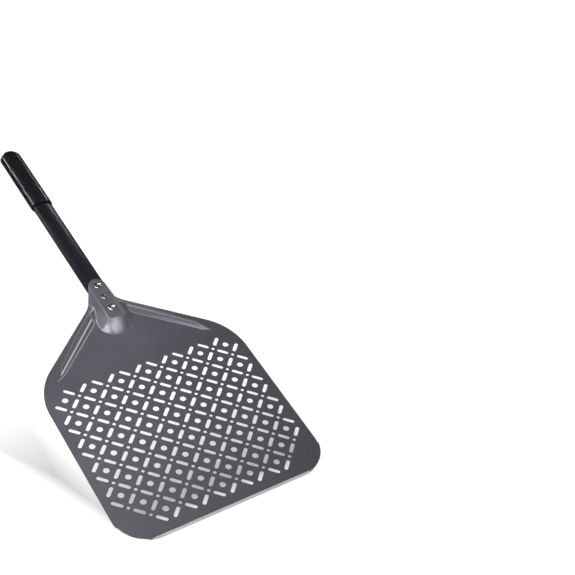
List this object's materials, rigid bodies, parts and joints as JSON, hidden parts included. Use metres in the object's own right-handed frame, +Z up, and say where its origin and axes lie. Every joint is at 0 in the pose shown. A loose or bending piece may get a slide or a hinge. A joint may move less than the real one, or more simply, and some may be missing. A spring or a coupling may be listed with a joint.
{
  "type": "pizza peel",
  "caption": "Perforated pizza peel: square-fronted sheet blade with pressed ribs and a neck channel, flat-oval tube handle held by blind rivets, and a moulded grip.",
  "frame": {"origin": "on the blade's underside, on the centre line, in the middle of the perforated field, 127.4 mm behind the front edge", "axes": "+Y along the handle from the front edge towards the grip, +Z up out of the carrying face, +X to the right seen from the handle; the blade rests on z = 0"},
  "size_m": [0.304, 0.737, 0.021],
  "materials": {
    "blade_sheet": "dark grey hard-anodised satin, bare bright metal on the ground front bevel",
    "tube": "black anodised satin",
    "grip": "black moulded, fine matt grain",
    "rivet": "bright, lightly hammered by setting",
    "mandrel": "broken steel stub, dull"
  },
  "bodies": {
    "root": {"blade": "blade_sheet", "handle_tube": "tube", "grip": "grip", "rivet_body_1": "rivet", "rivet_body_2": "rivet", "rivet_body_3": "rivet", "rivet_mandrel_1": "mandrel", "rivet_mandrel_2": "mandrel", "rivet_mandrel_3": "mandrel"}
  },
  "joints": []
}
